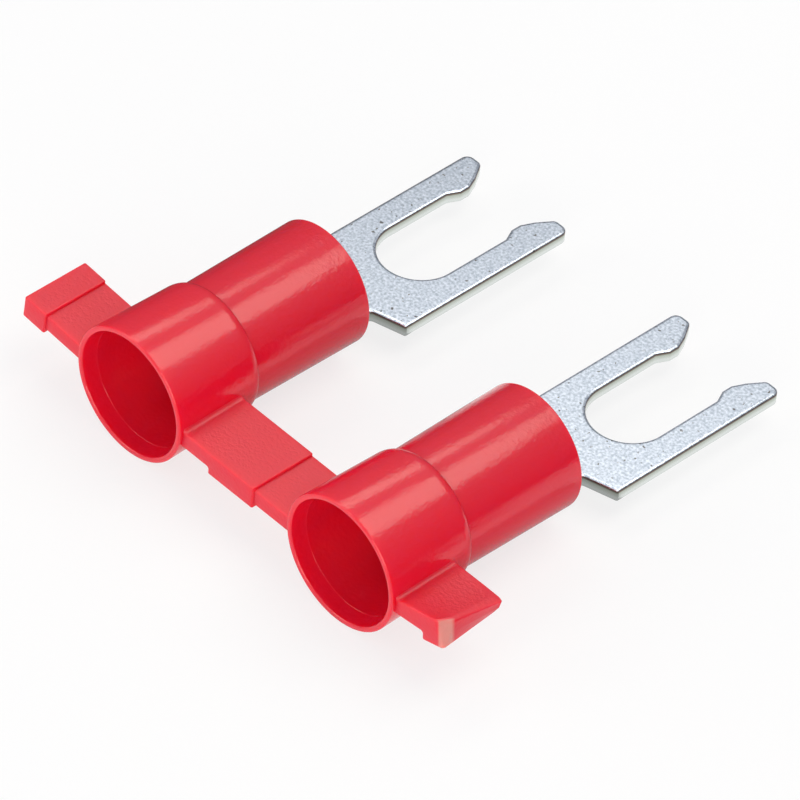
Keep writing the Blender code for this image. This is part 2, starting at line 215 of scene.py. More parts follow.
def rounded_path(corners, inset=0.0, closed=False):
    """Points along lines and arcs through corners of (x, y, radius), with the solid on the right.

    A corner moves in by the inset times the sum of its two normals over one plus the cosine of its turn.
    An arc of its radius, less the inset where the solid bulges and plus it where it is hollow, then
    touches both lines. The number of points doesn't change with the inset, so paths match point by point.
    """
    corners = np.array(corners, float)
    place, radius = corners[:, :2], corners[:, 2]
    ahead = np.roll(place, -1, 0) - place
    if not closed:
        ahead[-1] = ahead[-2]
    length = np.linalg.norm(ahead, axis=1)
    ahead /= length[:, None]
    behind = np.roll(ahead, 1, 0)
    if not closed:
        behind[0] = ahead[0]
    normal_ahead = np.stack([ahead[:, 1], -ahead[:, 0]], 1)
    normal_behind = np.stack([behind[:, 1], -behind[:, 0]], 1)
    cosine = (ahead * behind).sum(1)
    turn = np.arctan2(behind[:, 0] * ahead[:, 1] - behind[:, 1] * ahead[:, 0], cosine)
    place = place + inset * (normal_ahead + normal_behind) / (1 + cosine)[:, None]
    steps = np.maximum(np.abs(turn) / ARC_STEP, radius * np.abs(turn) / POINT_SPACING)
    radius = np.maximum(radius + inset * np.sign(turn), LEAST_RADIUS)
    spoke = np.sign(turn)[:, None] * normal_behind * radius[:, None]
    centre = place - behind * (radius * np.abs(np.tan(turn / 2)))[:, None] - spoke
    pieces = []
    for index in range(len(corners)):
        if abs(turn[index]) < STRAIGHT:
            pieces.append(place[index:index + 1])
            continue
        angle = np.linspace(0, turn[index], int(np.ceil(steps[index])) + 1)
        cos, sin, (x, y) = np.cos(angle), np.sin(angle), spoke[index]
        pieces.append(centre[index] + np.stack([x * cos - y * sin, x * sin + y * cos], 1))
    joined = []
    for index, piece in enumerate(pieces):
        joined.append(piece)
        if index < len(pieces) - 1 or closed:
            share = np.linspace(0, 1, int(length[index] / POINT_SPACING) + 2)[1:-1, None]
            joined.append(piece[-1] * (1 - share) + pieces[(index + 1) % len(pieces)][0] * share)
    return np.concatenate(joined)


# %% Web bars
WEB_EDGE_ROUND = 0.09
EDGE_STATIONS = 6
BAR_STATIONS = 36


def web_bar(corners, front, back):
    """A bar: its profile at stations along y, drawn in near an end by r - sqrt(r^2 - (r - d)^2).

    Here d is the distance from that end and r the radius of the rounding.
    """
    near = WEB_EDGE_ROUND * (1 - np.cos(np.linspace(0, math.pi / 2, EDGE_STATIONS)))
    between = np.linspace(front + WEB_EDGE_ROUND, back - WEB_EDGE_ROUND, BAR_STATIONS)[1:-1]
    along = np.concatenate([front + near, between, back - near[::-1]])
    left = np.maximum(WEB_EDGE_ROUND - np.minimum(along - front, back - along), 0)
    insets = WEB_EDGE_ROUND - np.sqrt(WEB_EDGE_ROUND ** 2 - left ** 2)
    rings = []
    for y, inset in zip(along, insets):
        ring = rounded_path(corners, inset, closed=True)
        rings.append(np.stack([ring[:, 0], np.full(len(ring), y), ring[:, 1]], 1))
    count = len(rings[0])
    caps = np.stack([np.arange(count), np.arange(count) + (len(rings) - 1) * count])
    return np.concatenate(rings), [grid_faces(len(rings), count, wrap_columns=True), caps]


# %% [markdown]
# The bars are then shaped to the strip. The fillet follows the sleeve, which tapers from its mouth. The
# press has sheared the strip's right end: the web there is bent up at its front and left level at its
# back, the cut is twisted, and its front corner is chamfered. The left end curls up by about five degrees,
# and the left hinge droops away from its sleeve. These are smooth moves of the points, done before the
# pieces go to their places.

# %% Web shapes
TAB_REACH = 5.50
BLOCK_START = 4.75
REMNANT_WIDTH = 1.35
END_REACH = 5.55
END_CURL = 4.8
CUT_END_CURL = 4.0
BEND_PLACES = (MOUTH_RADIUS, BLOCK_START, END_REACH)
BEND_LIFTS = {"top front": (0, 0.24, 0.41), "low front": (0, -0.02, 0.24),
              "top back": (0, -0.09, -0.17), "low back": (0, -0.09, -0.14)}
CUT_DEPTHS = (0, 0.10, 0.50, 1)
CUT_REACHES = {"front": (5.88, 5.90, 5.97, 6.05), "back": (5.62, 5.98, 5.82, 5.43)}
CHAMFER_LENGTHS = (0.73, 0.15)
CHAMFER_SLOPE = 0.48
HINGE_DROOP = 2.5
FOLD_SLANT = 0.3
WEB_FRONT = 0.22
WEB_LENGTH = 3.41
WEB_BACK = WEB_FRONT + WEB_LENGTH
TAB_SETBACK = 0.10
BLOCK_DEPTH = 1.15
HINGE_DEPTH = 0.80
WEB_FILLET = 0.22
TAB_DROP = 0.15
TAB_THICKNESS = 0.80
TAB_OVERLAP = 0.3
SUNK = 0.02
ROOT_COVER = 0.13
WEB_ROOT_X = BORE_RADIUS + ROOT_COVER


def hinge_and_block(end):
    """Profile of the hinge beside a sleeve and the thicker block beyond it, clockwise."""
    fillet_x = MOUTH_RADIUS - SUNK
    fillet_top = WEB_FILLET + SUNK
    sharp = [(end, 0), (end, -BLOCK_DEPTH), (BLOCK_START, -BLOCK_DEPTH)]
    return ([(WEB_ROOT_X, fillet_top, SUNK / 2), (fillet_x, fillet_top, SUNK / 2), (fillet_x, 0, WEB_FILLET)]
            + [(x, z, WEB_EDGE_ROUND) for x, z in sharp]
            + [(BLOCK_START, -HINGE_DEPTH, WEB_EDGE_ROUND), (WEB_ROOT_X, -HINGE_DEPTH, SUNK / 2)])


def level_bar(start, end, top, bottom):
    """Profile of a plain bar, clockwise."""
    return [(x, z, WEB_EDGE_ROUND) for x, z in [(start, top), (end, top), (end, bottom), (start, bottom)]]


def follow_sleeve(points):
    """Moves the hinge in with the sleeve's taper: the change of radius, fading out to the block's start."""
    x, y, z = points.T
    taper = (REAR_RADIUS - MOUTH_RADIUS) * np.clip(y / (REAR_LENGTH - SHOULDER_LENGTH), 0, 1)
    share = np.clip((BLOCK_START - x) / (BLOCK_START - MOUTH_RADIUS), 0, 1)
    return np.stack([x + taper * share, y, z], 1)


def droop(points):
    """Slopes the hinge's top: height plus the slope times the distance to a line that slants to the back."""
    x, y, z = points.T
    fold_x = BLOCK_START - FOLD_SLANT * (y - WEB_FRONT)
    rise = math.tan(math.radians(HINGE_DROOP)) * np.maximum(fold_x - x, 0)
    return np.stack([x, y, z + rise * np.clip(1 + z / HINGE_DEPTH, 0, 1)], 1)


def blend(front, back, share):
    """Straight blend of two values, from 0 at the front to 1 at the back."""
    return front * (1 - share) + back * share


def press_cut(points):
    """Bends the end web and lays its end on the cut.

    The lift is read off at x for the four long edges and blended down the depth and along y. The reach of
    the end is read off at the depth for the front and the back, less a chamfer that shortens with the depth,
    and the block beyond its start is stretched to it.
    """
    x, y, z = points.T
    back = (y - WEB_FRONT) / WEB_LENGTH
    low = np.clip(-z / BLOCK_DEPTH, 0, 1)
    lifts = {edge: np.interp(x, BEND_PLACES, values) for edge, values in BEND_LIFTS.items()}
    lift = blend(blend(lifts["top front"], lifts["low front"], low),
                 blend(lifts["top back"], lifts["low back"], low), back)
    reach = blend(np.interp(low, CUT_DEPTHS, CUT_REACHES["front"]),
                  np.interp(low, CUT_DEPTHS, CUT_REACHES["back"]), back)
    reach = reach - CHAMFER_SLOPE * np.maximum(blend(*CHAMFER_LENGTHS, low) - (y - WEB_FRONT), 0)
    scale = (reach - BLOCK_START) / (END_REACH - BLOCK_START)
    return np.stack([BLOCK_START + (x - BLOCK_START) * np.where(x > BLOCK_START, scale, 1), y, z + lift], 1)


def curl(points, angle):
    """Turns points about the sleeve's axis, raising the +x side for a positive angle in degrees."""
    x, y, z = points.T
    cos, sin = math.cos(math.radians(angle)), math.sin(math.radians(angle))
    return np.stack([x * cos - z * sin, y, x * sin + z * cos], 1)


def curl_left(points):
    """The left end of the strip bends up."""
    return curl(points, -END_CURL)


def curl_right(points):
    """The cut end of the strip turns up about the sleeve's axis, a little less than the left end."""
    return curl(points, CUT_END_CURL)


# %% [markdown]
# Sleeves and webs are one moulding, so their skins are joined by Booleans into a single closed skin. Each
# web's root ends inside the sleeve's wall, so the union leaves the bore clean. The webs keep a material of
# their own, because the mould is sparked rather than polished there.

# %% Insulation strip
POLISHED, SPARKED = 0, 1


def moulded_bar(name, side, profile, front, moves):
    """A web bar of the given side, with its moves applied in turn."""
    points, faces = web_bar(profile, front, WEB_BACK)
    for move in moves:
        points = move(points)
    return make_piece(name, [(points, faces)], AXES[side])


TAB_PROFILE = level_bar(-TAB_REACH - TAB_OVERLAP, -WEB_ROOT_X, -TAB_DROP, -TAB_DROP - TAB_THICKNESS)
REMNANT_PROFILE = level_bar(-TAB_REACH - REMNANT_WIDTH, -TAB_REACH, 0, -BLOCK_DEPTH)
TAB_FRONT = WEB_FRONT + TAB_SETBACK
sleeves = [make_piece("sleeve_" + side, [turned(sleeve_profile())], AXES[side]) for side in SIDES]
bars = [
    moulded_bar("web_block", "left", hinge_and_block(PITCH - TAB_REACH), WEB_FRONT, [follow_sleeve, droop]),
    moulded_bar("end_block", "right", hinge_and_block(END_REACH), WEB_FRONT,
                [follow_sleeve, press_cut, curl_right]),
    moulded_bar("end_tab", "left", TAB_PROFILE, TAB_FRONT, [curl_left]),
    moulded_bar("web_tab", "right", TAB_PROFILE, TAB_FRONT, []),
    moulded_bar("end_remnant", "left", REMNANT_PROFILE, WEB_FRONT, [curl_left]),
]


def finish_slots(thing, index):
    """Gives a piece two empty material slots and puts all its faces in one of them."""
    thing.data.materials.append(None)
    thing.data.materials.append(None)
    thing.data.polygons.foreach_set("material_index", np.full(len(thing.data.polygons), index, np.int32))


def join_skins(name, first, others):
    """The union of closed skins as one piece, by a chain of exact Booleans."""
    for other in others:
        step = first.modifiers.new(other.name, "BOOLEAN")
        step.operation = "UNION"
        step.solver = "EXACT"
        step.object = other
    evaluated = first.evaluated_get(bpy.context.evaluated_depsgraph_get())
    mesh = bpy.data.meshes.new_from_object(evaluated)
    mesh.name = name
    mesh.shade_smooth()
    mesh.set_sharp_from_angle(angle=math.radians(SHARP_ANGLE))
    for thing in [first] + others:
        bpy.data.objects.remove(thing)
    joined = bpy.data.objects.new(name, mesh)
    bpy.context.scene.collection.objects.link(joined)
    skin = bmesh.new()
    skin.from_mesh(mesh)
    open_edges = sum(not edge.is_manifold for edge in skin.edges)
    volume = skin.calc_volume(signed=True) / MM ** 3
    print(name, len(skin.faces), "faces,", round(volume, 2), "mm3, open edges:", open_edges)
    skin.free()
    return joined


for thing in sleeves:
    finish_slots(thing, POLISHED)
for thing in bars:
    finish_slots(thing, SPARKED)
strip = join_skins("moulded_strip", sleeves[0], sleeves[1:] + bars)

# %% [markdown]
# The stamping starts as flat sheet. Its right half runs from the slot's root round the prong's locking
# bump and tip, back along the outside to the shoulder, in to the neck, out round the barrel's flap and
# along its rear edge to the middle. The root is rounded by a hair less than half the slot's width, so that
# its arc ends just short of the middle line.

# %% Stamping outline
BARREL_PROUD = 0.10
SEAM_GAP = 0.08
NECK_WIDTH = 2.90
NECK_LENGTH = 1.05
SHOULDER_REACH = 1.87
SHOULDER_RAKE = 16
SLOT_WIDTH = 3.71
SLOT_DEPTH = 7.72
LOCK_RISE = 0.28
LOCK_RAMP_FROM_TIP = 2.50
LOCK_CREST_FROM_TIP = 1.90
LOCK_CREST_LENGTH = 0.50
TIP_LAND = 0.83
BARREL_CORNER_RADIUS = 0.25
NECK_CORNER_RADIUS = 0.30
SHARP_RADIUS = 0.10
TIP_OUTER_RADIUS = 0.38
TIP_INNER_RADIUS = 0.30
CREST_FRONT_RADIUS = 0.25
BULGE_OUT = 0.26
BULGE_FROM_TIP = 0.80
BULGE_RADIUS = 0.50
RAMP_FOOT_RADIUS = 0.12
HAIR = 0.001
BARREL_MID_RADIUS = BARREL_RADIUS - STOCK / 2
BARREL_FRONT_Y = SLEEVE_LENGTH + BARREL_PROUD
SHOULDER_Y = BARREL_FRONT_Y + SHOULDER_REACH
FLAP = math.pi * BARREL_MID_RADIUS - SEAM_GAP / 2
NECK_X = NECK_WIDTH / 2
SIDE_X = TONGUE_WIDTH / 2
SLOT_X = SLOT_WIDTH / 2
CREST_X = SLOT_X - LOCK_RISE
CREST_Y = TIP_Y - LOCK_CREST_FROM_TIP
NECK_Y = SHOULDER_Y - (SIDE_X - NECK_X) * math.tan(math.radians(SHOULDER_RAKE))
ROOT_Y = TIP_Y - SLOT_DEPTH
INNER_SIDE = [
    (0, ROOT_Y, 0),
    (SLOT_X, ROOT_Y, SLOT_X - HAIR),
    (SLOT_X, TIP_Y - LOCK_RAMP_FROM_TIP, RAMP_FOOT_RADIUS),
    (CREST_X, CREST_Y, SHARP_RADIUS),
    (CREST_X, CREST_Y + LOCK_CREST_LENGTH, CREST_FRONT_RADIUS),
    (CREST_X + BULGE_OUT, TIP_Y - BULGE_FROM_TIP, BULGE_RADIUS),
    (SIDE_X - TIP_LAND, TIP_Y, TIP_INNER_RADIUS),
]
TIP_MIDDLE = (SIDE_X - TIP_LAND / 2, TIP_Y, 0)
OUTER_SIDE = [
    (SIDE_X, TIP_Y, TIP_OUTER_RADIUS),
    (SIDE_X, SHOULDER_Y, SHARP_RADIUS),
    (NECK_X, NECK_Y, NECK_CORNER_RADIUS),
    (NECK_X, BARREL_FRONT_Y, BARREL_CORNER_RADIUS),
    (FLAP, BARREL_FRONT_Y, SHARP_RADIUS),
    (FLAP, BARREL_REAR_Y, SHARP_RADIUS),
    (0, BARREL_REAR_Y, 0),
]


def half_outline(inset):
    """The right half of the outline, inner side and outer side, split at the tip's middle."""
    path = rounded_path(INNER_SIDE + [TIP_MIDDLE] + OUTER_SIDE, inset)
    tip = len(rounded_path(INNER_SIDE + [TIP_MIDDLE])) - 1
    return path[:tip + 1], path[tip:]


print("half outline:", len(INNER_SIDE) + len(OUTER_SIDE) + 1, "corners, flap", round(FLAP, 2), "mm wide")

# %% [markdown]
# The flat of each half is made of straight lines from its inner side to its outer side. The inner side
# continues down the middle line of the neck and barrel, so the lines sweep the whole half, and both ends
# close in a point. Near the barrel's ends the lines lean, because lines straight across would all fall into
# the edge there. A band then follows the stamped edge, and the whole sheet is rolled last.

# %% Flats, rim and roll
ACROSS = 20
LEAN = 0.25
DIE_ROLL_WIDTH = 0.17
DIE_ROLL_DEPTH = 0.09
BURR_ROUND = 0.03
SIDE_POINTS = 6
LEAST_CURVATURE = 1e-6


def leaf(inset, height):
    """Half of a flat face, as a grid of (x, y, z): inner side times (1 - t) plus outer side times t."""
    inner, outer = half_outline(inset)
    outer = outer[::-1]
    spine = outer[:len(outer) - len(inner)]
    middle_y = np.interp(spine[:, 1], [BARREL_REAR_Y + inset, BARREL_FRONT_Y - inset, spine[-1, 1]],
                         [BARREL_REAR_Y + inset, BARREL_FRONT_Y - inset, ROOT_Y - inset])
    forward = np.clip((spine[:, 1] - BARREL_REAR_Y) / (BARREL_FRONT_Y - BARREL_REAR_Y), 0, 1)
    middle_y = middle_y + LEAN * (1 - 2 * forward) * spine[:, 0] / FLAP
    inner = np.concatenate([np.stack([0 * middle_y, middle_y], 1), inner])
    share = np.linspace(0, 1, ACROSS + 1)[:, None, None]
    grid = inner * (1 - share) + outer * share
    flat = np.concatenate([grid, np.full(grid.shape[:2] + (1,), height)], -1)
    return flat.reshape(-1, 3), [grid_faces(*grid.shape[:2])]


def rim_profile():
    """(inset, height) down a stamped edge: the die roll, the sheared side and a fine burr edge."""
    die_roll = (DIE_ROLL_WIDTH, DIE_ROLL_DEPTH)
    top = arc((DIE_ROLL_WIDTH, STOCK / 2 - DIE_ROLL_DEPTH), die_roll, 90, 180, steps=8)
    low = arc((BURR_ROUND, BURR_ROUND - STOCK / 2), BURR_ROUND, 180, 270, steps=3)
    side_heights = np.linspace(top[-1, 1], low[0, 1], SIDE_POINTS)[1:-1]
    side = np.stack([0 * side_heights, side_heights], 1)
    return np.concatenate([top, side, low])


def curvature(along):
    """How tightly the sheet is rolled: 1 / mid radius in the barrel, easing to 0 over the neck."""
    share = (along - BARREL_FRONT_Y - BARREL_CORNER_RADIUS) / (NECK_LENGTH - BARREL_CORNER_RADIUS)
    share = np.clip(share, 0, 1)
    return (1 - share * share * (3 - 2 * share)) / BARREL_MID_RADIUS


def roll(points):
    """Rolls the sheet: across becomes an angle about a centre 1 / curvature above the middle line."""
    across, along, through = points.T
    bend = np.maximum(curvature(along), LEAST_CURVATURE)
    radius = 1 / bend
    angle = across * bend
    sag = radius * (1 - np.cos(angle)) + through * np.cos(angle)
    return np.stack([(radius - through) * np.sin(angle), along, sag - BARREL_MID_RADIUS], 1)


def stamping():
    """All parts of the terminal's skin and, for each point, how far it lies down the stamped edge."""
    parts, travel = [], []
    rim = rim_profile()
    distance = np.concatenate([[0], np.cumsum(np.linalg.norm(np.diff(rim, axis=0), axis=1))])
    mirror = np.array([-1, 1, 1])
    for (inset, height), down in ((rim[0], 0.0), (rim[-1], distance[-1])):
        points, quads = leaf(inset, height)
        for half in (points, points * mirror):
            parts.append((roll(half), quads))
            travel.append(np.full(len(half), down))
    rings = []
    for (inset, height), down in zip(rim, distance):
        path = np.concatenate(half_outline(inset))
        ring = np.column_stack([path, np.full(len(path), height)])
        rings.append(np.concatenate([ring, (ring * mirror)[::-1]]))
        travel.append(np.full(len(rings[-1]), down))
    parts.append((roll(np.concatenate(rings)), [grid_faces(len(rings), len(rings[0]), wrap_columns=True)]))
    return parts, np.concatenate(travel)


fork_pieces = []
for side in SIDES:
    skin_parts, edge_travel = stamping()
    fork_pieces.append(make_piece("stamping_" + side, skin_parts, AXES[side], ("edge_travel", edge_travel)))

# %% [markdown]
# The materials are built from nodes in Object coordinates, so their grain keeps its real size. Colours are
# written as sRGB hex and turned linear by one function, and one small function adds a node of any kind.

# %% Material helpers


def linear(hex_colour):
    """An sRGB hex colour as linear red, green, blue and alpha."""
    value = np.array([int(hex_colour[k:k + 2], 16) for k in (1, 3, 5)]) / 255
    value = np.where(value <= 0.04045, value / 12.92, ((value + 0.055) / 1.055) ** 2.4)
    return (*value.tolist(), 1.0)


def add(owner, kind, links=(), values=(), stops=(), **settings):
    """Adds a node: links are (socket, source), values are (socket, number), stops are (place, hex colour).

    The other settings are properties of the node or, where it has none of that name, its sockets' values.
    """
    node = owner.node_tree.nodes.new(kind)
    for name, value in settings.items():
        if hasattr(node, name):
            setattr(node, name, value)
        else:
            node.inputs[name.replace("_", " ")].default_value = value
    for socket, value in values:
        node.inputs[socket].default_value = value
    for socket, source in links:
        owner.node_tree.links.new(source, node.inputs[socket])
    for _ in stops[2:]:
        node.color_ramp.elements.new(1.0)
    for index, (place, colour) in enumerate(stops):
        node.color_ramp.elements[index].position = place
        node.color_ramp.elements[index].color = linear(colour)
    return node


def new_material(name):
    """An empty node material."""
    material = bpy.data.materials.new(name)
    material.use_nodes = True
    material.node_tree.nodes.clear()
    return material


# %% [markdown]
# Soft PVC is glossy where the mould was polished. Its index of refraction of 1.53 gives the narrow pale
# bands of the softboxes. The wall is only 0.3 mm thick and lets red light through, so the wire funnel glows
# evenly instead of falling dark: that is subsurface scattering with a long way for red and a short one for
# green and blue. A fine orange peel mottles the highlights and keeps their edges from being ruler straight.
#
# On the webs the mould is spark eroded. The same PVC is rougher there, so it spreads the highlights and
# looks flatter and mottled. The chamfered corner of the cut end carries a painted highlight in pale pink.

# %% Vinyl
PVC_RED = "#DC1533"
# The pale pink is a painted highlight: the chamfered corner of the cut end coloured as if it caught the
# light.
CHAMFER_HIGHLIGHT_PVC = "#D98F86"
PVC_SCATTER = {"Subsurface_Weight": 1.0, "Subsurface_Radius": (1.0, 0.10, 0.10),
               "Subsurface_Scale": 0.6 * MM}
PVC_IOR = 1.53
POLISHED_ROUGHNESS, SPARKED_ROUGHNESS = 0.13, 0.40
PEEL_SIZE = 0.18
SPARK_SIZE = 0.16
# Where the painted highlight lies: past the cut and along the chamfered corner.
CUT_DIRECTION = (1, -0.40, 0.15)
CUT_LIMITS = (5.48, 5.56)
CORNER_DIRECTION = (0.68, 0.73, 0.06)
CORNER_LIMITS = (4.03, 4.76)


def polished_pvc():
    """Soft PVC from a polished mould: glossy, softly lit from within, with a fine orange peel."""
    material = new_material("moulded_soft_pvc")
    place = add(material, "ShaderNodeTexCoord").outputs["Object"]
    peel = add(material, "ShaderNodeTexNoise", [("Vector", place)], Scale=1 / (PEEL_SIZE * MM), Detail=3.0)
    bump = add(material, "ShaderNodeBump", [("Height", peel.outputs["Fac"])], Strength=0.9,
               Distance=0.016 * MM)
    shader = add(material, "ShaderNodeBsdfPrincipled", [("Normal", bump.outputs["Normal"])],
                 Base_Color=linear(PVC_RED), Roughness=POLISHED_ROUGHNESS, IOR=PVC_IOR, **PVC_SCATTER)
    add(material, "ShaderNodeOutputMaterial", [("Surface", shader.outputs["BSDF"])])
    return material


def sparked_pvc():
    """The same PVC from a spark eroded mould, with a painted highlight along the sheared corner.

    A point's place from the right sleeve's mouth, times CUT_DIRECTION, tells how far it lies out on the cut,
    and times CORNER_DIRECTION how far round the corner. The painted highlight is where the first is past its
    limits and the second lies between its own.
    """
    material = new_material("sparked_soft_pvc")
    place = add(material, "ShaderNodeTexCoord").outputs["Object"]
    grain = add(material, "ShaderNodeTexNoise", [("Vector", place)], Scale=1 / (SPARK_SIZE * MM), Detail=2.0)
    bump = add(material, "ShaderNodeBump", [("Height", grain.outputs["Fac"])], Strength=0.7,
               Distance=0.03 * MM)
    past = []
    for direction, limits in ((CUT_DIRECTION, CUT_LIMITS), (CORNER_DIRECTION, CORNER_LIMITS)):
        reach = add(material, "ShaderNodeVectorMath", [(0, place)], [(1, direction)],
                    operation="DOT_PRODUCT")
        low, high = (float(np.dot(AXES["right"], direction)) + np.array(limits)) * MM
        past.append(add(material, "ShaderNodeMapRange", [("Value", reach.outputs["Value"])],
                        From_Min=low, From_Max=high).outputs["Result"])
    # Painted highlight: the band along the chamfered corner is mixed towards pale pink.
    highlight_band = add(material, "ShaderNodeValToRGB", [("Fac", past[1])],
                     stops=[(0.0, "#000000"), (0.12, "#FFFFFF"), (0.80, "#FFFFFF"), (1.0, "#000000")])
    both = add(material, "ShaderNodeMath", [(0, past[0]), (1, highlight_band.outputs["Color"])],
               operation="MINIMUM")
    colour = add(material, "ShaderNodeValToRGB", [("Fac", both.outputs[0])],
                 stops=[(0.0, PVC_RED), (1.0, CHAMFER_HIGHLIGHT_PVC)])
    shader = add(material, "ShaderNodeBsdfPrincipled",
                 [("Base Color", colour.outputs["Color"]), ("Normal", bump.outputs["Normal"])],
                 Roughness=SPARKED_ROUGHNESS, IOR=PVC_IOR, **PVC_SCATTER)
    add(material, "ShaderNodeOutputMaterial", [("Surface", shader.outputs["BSDF"])])
    return material


# %% [markdown]
# The copper is electroplated with matt tin. Tin's fine crystals and the rolling of the sheet leave a
# cloudy surface with small dark pits, so its tone varies over about 0.1 mm. The punch drags the upper edge
# round and burnishes it, which makes it shinier. Just below, the plating is thin and a line of bare copper
# shows, before the plain, sheared side takes over. The vertex attribute tells how far down the stamped edge
# a point lies. The Mix node's colour sockets go by number, because its other data types share their names.

# %% Tin
CLOUD_SIZE = 0.13
PIT_SIZE = 0.24
SIDE_TIN = "#DFE4E1"
SIDE_LIMITS = (0.20, 0.24)
SHINE_END = 0.05
FLAT_ROUGHNESS, ROLL_ROUGHNESS = 0.46, 0.24
SHARE, FIRST_COLOUR, SECOND_COLOUR, MIXED_COLOUR = 0, 6, 7, 2


def matt_tin():
    """Matt tin plate: cloudy and pitted on the flats, burnished at the die roll, coppery just under it.

    Places on the copper ramp are millimetres down the stamped edge.
    """
    material = new_material("matt_tin_plate")
    place = add(material, "ShaderNodeTexCoord").outputs["Object"]
    cloud = add(material, "ShaderNodeTexNoise", [("Vector", place)], Scale=1 / (CLOUD_SIZE * MM), Detail=4.0)
    tone = add(material, "ShaderNodeValToRGB", [("Fac", cloud.outputs["Fac"])],
               stops=[(0.34, "#B4BFD0"), (0.66, "#EAF1FF")])
    pits = add(material, "ShaderNodeTexNoise", [("Vector", place)], Scale=1 / (PIT_SIZE * MM), Detail=1.0)
    pit_mask = add(material, "ShaderNodeValToRGB", [("Fac", pits.outputs["Fac"])],
                   stops=[(0.69, "#FFFFFF"), (0.75, "#8C8580")])
    pitted = add(material, "ShaderNodeMix",
                 [(FIRST_COLOUR, tone.outputs["Color"]), (SECOND_COLOUR, pit_mask.outputs["Color"])],
                 [(SHARE, 1.0)], data_type="RGBA", blend_type="MULTIPLY")
    travel = add(material, "ShaderNodeAttribute", attribute_name="edge_travel").outputs["Fac"]
    side = add(material, "ShaderNodeMapRange", [("Value", travel)], From_Min=SIDE_LIMITS[0],
               From_Max=SIDE_LIMITS[1])
    plated = add(material, "ShaderNodeMix",
                 [(SHARE, side.outputs["Result"]), (FIRST_COLOUR, pitted.outputs[MIXED_COLOUR])],
                 [(SECOND_COLOUR, linear(SIDE_TIN))], data_type="RGBA")
    copper = add(material, "ShaderNodeValToRGB", [("Fac", travel)],
                 stops=[(0.15, "#FFFFFF"), (0.18, "#7E655A"), (0.25, "#94857B"), (0.31, "#D2D6CC"),
                        (0.55, "#FFFFFF")])
    coloured = add(material, "ShaderNodeMix",
                   [(FIRST_COLOUR, plated.outputs[MIXED_COLOUR]), (SECOND_COLOUR, copper.outputs["Color"])],
                   [(SHARE, 1.0)], data_type="RGBA", blend_type="MULTIPLY")
    shine = add(material, "ShaderNodeMapRange", [("Value", travel)], From_Max=SHINE_END,
                To_Min=FLAT_ROUGHNESS, To_Max=ROLL_ROUGHNESS)
    bump = add(material, "ShaderNodeBump", [("Height", cloud.outputs["Fac"])], Strength=0.4,
               Distance=0.01 * MM)
    shader = add(material, "ShaderNodeBsdfPrincipled",
                 [("Base Color", coloured.outputs[MIXED_COLOUR]), ("Roughness", shine.outputs["Result"]),
                  ("Normal", bump.outputs["Normal"])], Metallic=1.0)
    add(material, "ShaderNodeOutputMaterial", [("Surface", shader.outputs["BSDF"])])
    return material


strip.data.materials[POLISHED] = polished_pvc()
strip.data.materials[SPARKED] = sparked_pvc()
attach(strip, "root")
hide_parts("insulation_strip")
tin = matt_tin()
for thing, side in zip(fork_pieces, SIDES):
    thing.data.materials.append(tin)
    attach(thing, "root")
    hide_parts("fork_terminal_" + side)
print("materials:", [material.name for material in bpy.data.materials if material.users])

# %% [markdown]
# The strip lies on a plain white table in a white world. The world is white for rays from the camera and
# from mirrors only; the rays that carry light meet a weaker one, so the softboxes can shape the part. The
# table is a real matt surface. A share of glow, for the camera and for mirrors only, keeps it pale under
# the soft shadow.

# %% Table and world
TABLE_SIZE = 3000
TABLE_PAPER = "#F6F6F6"
TABLE_GLOW = 0.75
AMBIENT = 0.43
AMBIENT_COLOUR = (0.98, 1, 1.20, 1)
WHITE = (1, 1, 1, 1)


def seen_directly(owner):
    """1 for camera, glossy and transmission rays, 0 for the rays that carry light."""
    path = add(owner, "ShaderNodeLightPath")
    mirrored = add(owner, "ShaderNodeMath", [(0, path.outputs["Is Glossy Ray"]),
                                             (1, path.outputs["Is Transmission Ray"])], operation="MAXIMUM")
    seen = add(owner, "ShaderNodeMath", [(0, path.outputs["Is Camera Ray"]), (1, mirrored.outputs[0])],
               operation="MAXIMUM")
    return seen.outputs[0]


def stage_piece(name, points, faces, material):
    """A piece of the studio, which isn't part of the product, from points in millimetres."""
    mesh = bpy.data.meshes.new(name)
    mesh.from_pydata(np.array(points) * MM, [], faces)
    mesh.materials.append(material)
    thing = bpy.data.objects.new(name, mesh)
    bpy.context.scene.collection.objects.link(thing)
    return thing


def rectangle(low, high, height):
    """The four corners of a level rectangle between two opposite corners."""
    (x0, y0), (x1, y1) = low, high
    return [(x0, y0, height), (x1, y0, height), (x1, y1, height), (x0, y1, height)]


table_material = new_material("white_table")
paper = add(table_material, "ShaderNodeBsdfDiffuse", Color=linear(TABLE_PAPER))
glow = add(table_material, "ShaderNodeEmission", Color=WHITE, Strength=1.0)
glow_share = add(table_material, "ShaderNodeMath", [(0, seen_directly(table_material))], [(1, TABLE_GLOW)],
                 operation="MULTIPLY")
top = add(table_material, "ShaderNodeMixShader",
          [(0, glow_share.outputs[0]), (1, paper.outputs[0]), (2, glow.outputs[0])])
add(table_material, "ShaderNodeOutputMaterial", [("Surface", top.outputs[0])])
half = TABLE_SIZE / 2
stage_piece("table", rectangle((-half, -half), (half, half), 0), [(0, 1, 2, 3)], table_material)

world = bpy.data.worlds.new("studio")
bpy.context.scene.world = world
world.use_nodes = True
world.node_tree.nodes.clear()
ambient = add(world, "ShaderNodeBackground", Color=AMBIENT_COLOUR, Strength=AMBIENT)
backdrop = add(world, "ShaderNodeBackground", Color=WHITE, Strength=1.0)
sky = add(world, "ShaderNodeMixShader",
          [(0, seen_directly(world)), (1, ambient.outputs[0]), (2, backdrop.outputs[0])])
add(world, "ShaderNodeOutputWorld", [("Surface", sky.outputs[0])])
print("table", TABLE_SIZE, "mm across, ambient light", AMBIENT)

